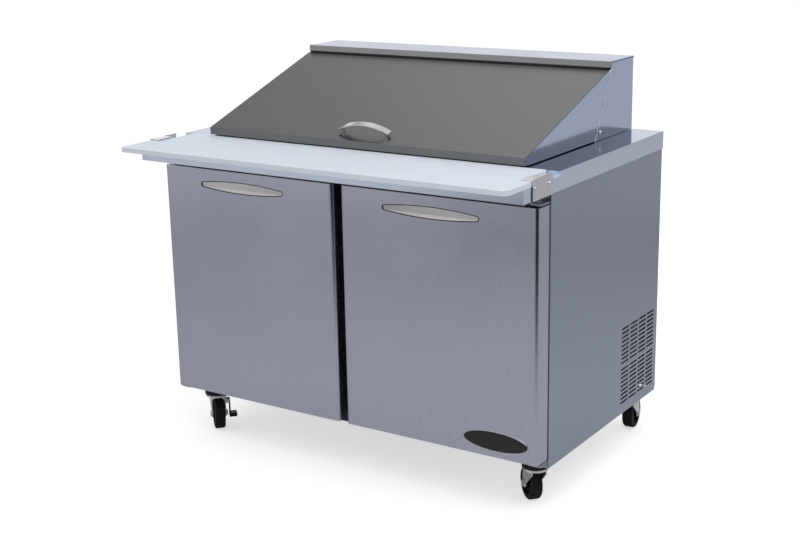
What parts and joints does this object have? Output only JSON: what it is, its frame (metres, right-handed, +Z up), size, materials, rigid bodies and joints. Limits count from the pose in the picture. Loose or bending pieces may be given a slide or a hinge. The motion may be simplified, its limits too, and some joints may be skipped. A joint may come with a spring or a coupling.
{
  "type": "sandwich prep table",
  "caption": "Refrigerated stainless sandwich prep table with hinged doors, a sloped hinged lid over food pans, a white cutting board and swivel casters.",
  "frame": {"origin": "on the floor, under the middle of the whole object's bounding box", "axes": "+Z up, -Y towards the user at the cutting board and doors, +X to the user's right"},
  "size_m": [1.2432, 0.9578, 1.122],
  "materials": {
    "panel_steel": "brushed stainless, cool grey",
    "door_steel": "brushed stainless, cool grey",
    "counter_steel": "brushed stainless, light",
    "lid_steel": "brushed stainless, darker",
    "hood_steel": "brushed stainless",
    "cap_steel": "brushed stainless, light",
    "inner_steel": "satin stainless inner sheet",
    "grip_steel": "satin metal, warm grey",
    "pan_steel": "polished stainless",
    "zinc": "bright zinc plate",
    "chrome": "polished chrome",
    "galvanised": "dull galvanised sheet",
    "white_wire": "white epoxy coat",
    "black_paint": "black enamel",
    "coil_metal": "bare fins and tubes",
    "foam": "rigid foam",
    "white_plastic": "moulded white",
    "board_plastic": "white cutting board, fine matt texture",
    "black_plastic": "moulded black",
    "badge_plastic": "gloss black with a silver rim",
    "rubber": "soft black",
    "tread": "black wheel"
  },
  "bodies": {
    "cabinet": {"side_panel_left": "panel_steel", "side_panel_right": "panel_steel", "back_panel": "galvanised", "rear_service_cover": "galvanised", "base_panel": "galvanised", "machine_bay_walls": "galvanised", "foam_insulation": "foam", "interior_liner": "inner_steel", "face_frame": "black_paint", "centre_mullion": "black_paint", "countertop": "counter_steel", "divider_bars": "inner_steel", "food_pans": "pan_steel", "wire_shelves": "white_wire", "shelf_supports": "inner_steel", "evaporator_cover": "inner_steel", "evaporator_coil": "coil_metal", "compressor": "black_paint", "condenser_coil": "coil_metal", "fan_shroud": "black_paint", "control_box": "galvanised", "power_inlet": "black_plastic", "hood_shell": "hood_steel", "hood_cap": "cap_steel", "hood_seal": "rubber", "hood_hinge_leaf": "inner_steel", "lid_hinge_pin": "inner_steel", "door_hinge_brackets": "zinc", "board_brackets": "counter_steel", "screws": "zinc", "caster_plates": "zinc", "caster_raceways": "black_plastic"},
    "evaporator_fan": {"evaporator_fan": "black_plastic"},
    "condenser_fan": {"condenser_fan": "black_plastic"},
    "thermostat_knob": {"thermostat_knob": "black_plastic"},
    "lid": {"lid_hinge_leaf": "inner_steel", "lid_panel": "lid_steel", "lid_cheeks": "hood_steel", "lid_inner_panel": "inner_steel", "lid_handle": "chrome"},
    "door_left": {"door_left_skin": "door_steel", "door_left_inner": "white_plastic", "door_left_grip": "grip_steel", "door_left_gasket": "rubber"},
    "door_right": {"door_right_skin": "door_steel", "door_right_inner": "white_plastic", "door_right_grip": "grip_steel", "door_right_gasket": "rubber", "door_badge": "badge_plastic"},
    "cutting_board": {"cutting_board": "board_plastic"},
    "caster_fork_front_left": {"caster_fork_front_left": "zinc"},
    "caster_wheel_front_left": {"caster_wheel_front_left": "tread"},
    "brake_pedal_front_left": {"brake_pedal_front_left": "black_plastic"},
    "caster_fork_front_right": {"caster_fork_front_right": "zinc"},
    "caster_wheel_front_right": {"caster_wheel_front_right": "tread"},
    "caster_fork_rear_left": {"caster_fork_rear_left": "zinc"},
    "caster_wheel_rear_left": {"caster_wheel_rear_left": "tread"},
    "brake_pedal_rear_left": {"brake_pedal_rear_left": "black_plastic"},
    "caster_fork_rear_right": {"caster_fork_rear_right": "zinc"},
    "caster_wheel_rear_right": {"caster_wheel_rear_right": "tread"}
  },
  "joints": [
    {"name": "door_left_hinge", "type": "hinge", "parent": "cabinet", "child": "door_left", "pos_m": [-0.594, -0.27186, 0.5], "axis": [0, 0, -1], "range_deg": [0, 120]},
    {"name": "door_right_hinge", "type": "hinge", "parent": "cabinet", "child": "door_right", "pos_m": [0.594, -0.27186, 0.5], "axis": [0, 0, 1], "range_deg": [0, 120]},
    {"name": "lid_hinge", "type": "hinge", "parent": "cabinet", "child": "lid", "pos_m": [0, 0.29064, 1.1007], "axis": [-1, 0, 0], "range_deg": [0, 116]},
    {"name": "board_lift", "type": "slide", "parent": "cabinet", "child": "cutting_board", "axis": [0, 0, 1], "range_m": [0, 0.25]},
    {"name": "evaporator_fan_spin", "type": "hinge", "parent": "cabinet", "child": "evaporator_fan", "pos_m": [0, 0.31214, 0.698], "axis": [0, -1, 0], "continuous": true},
    {"name": "condenser_fan_spin", "type": "hinge", "parent": "cabinet", "child": "condenser_fan", "pos_m": [0.504, 0.30614, 0.261], "axis": [1, 0, 0], "continuous": true},
    {"name": "thermostat_turn", "type": "hinge", "parent": "cabinet", "child": "thermostat_knob", "pos_m": [0.2, 0.28914, 0.698], "axis": [0, 1, 0], "range_deg": [0, 270]},
    {"name": "swivel_front_left", "type": "hinge", "parent": "cabinet", "child": "caster_fork_front_left", "pos_m": [-0.553, -0.19986, 0.1], "axis": [0, 0, 1], "continuous": true},
    {"name": "wheel_spin_front_left", "type": "hinge", "parent": "caster_fork_front_left", "child": "caster_wheel_front_left", "pos_m": [-0.53341, -0.21844, 0.047], "axis": [0.6884, 0.7254, 0], "continuous": true},
    {"name": "brake_front_left", "type": "hinge", "parent": "caster_fork_front_left", "child": "brake_pedal_front_left", "pos_m": [-0.52956, -0.17661, 0.077], "axis": [-0.7254, 0.6884, 0], "range_deg": [0, 12]},
    {"name": "swivel_front_right", "type": "hinge", "parent": "cabinet", "child": "caster_fork_front_right", "pos_m": [0.553, -0.19986, 0.1], "axis": [0, 0, 1], "continuous": true},
    {"name": "wheel_spin_front_right", "type": "hinge", "parent": "caster_fork_front_right", "child": "caster_wheel_front_right", "pos_m": [0.53262, -0.18214, 0.047], "axis": [-0.6561, -0.7547, 0], "continuous": true},
    {"name": "swivel_rear_left", "type": "hinge", "parent": "cabinet", "child": "caster_fork_rear_left", "pos_m": [-0.553, 0.40414, 0.1], "axis": [0, 0, 1], "continuous": true},
    {"name": "wheel_spin_rear_left", "type": "hinge", "parent": "caster_fork_rear_left", "child": "caster_wheel_rear_left", "pos_m": [-0.55999, 0.43022, 0.047], "axis": [-0.9659, -0.2588, 0], "continuous": true},
    {"name": "brake_rear_left", "type": "hinge", "parent": "caster_fork_rear_left", "child": "brake_pedal_rear_left", "pos_m": [-0.58513, 0.39657, 0.077], "axis": [0.2588, -0.9659, 0], "range_deg": [0, 12]},
    {"name": "swivel_rear_right", "type": "hinge", "parent": "cabinet", "child": "caster_fork_rear_right", "pos_m": [0.553, 0.40414, 0.1], "axis": [0, 0, 1], "continuous": true},
    {"name": "wheel_spin_rear_right", "type": "hinge", "parent": "caster_fork_rear_right", "child": "caster_wheel_rear_right", "pos_m": [0.54971, 0.43094, 0.047], "axis": [-0.9925, -0.1219, 0], "continuous": true}
  ]
}
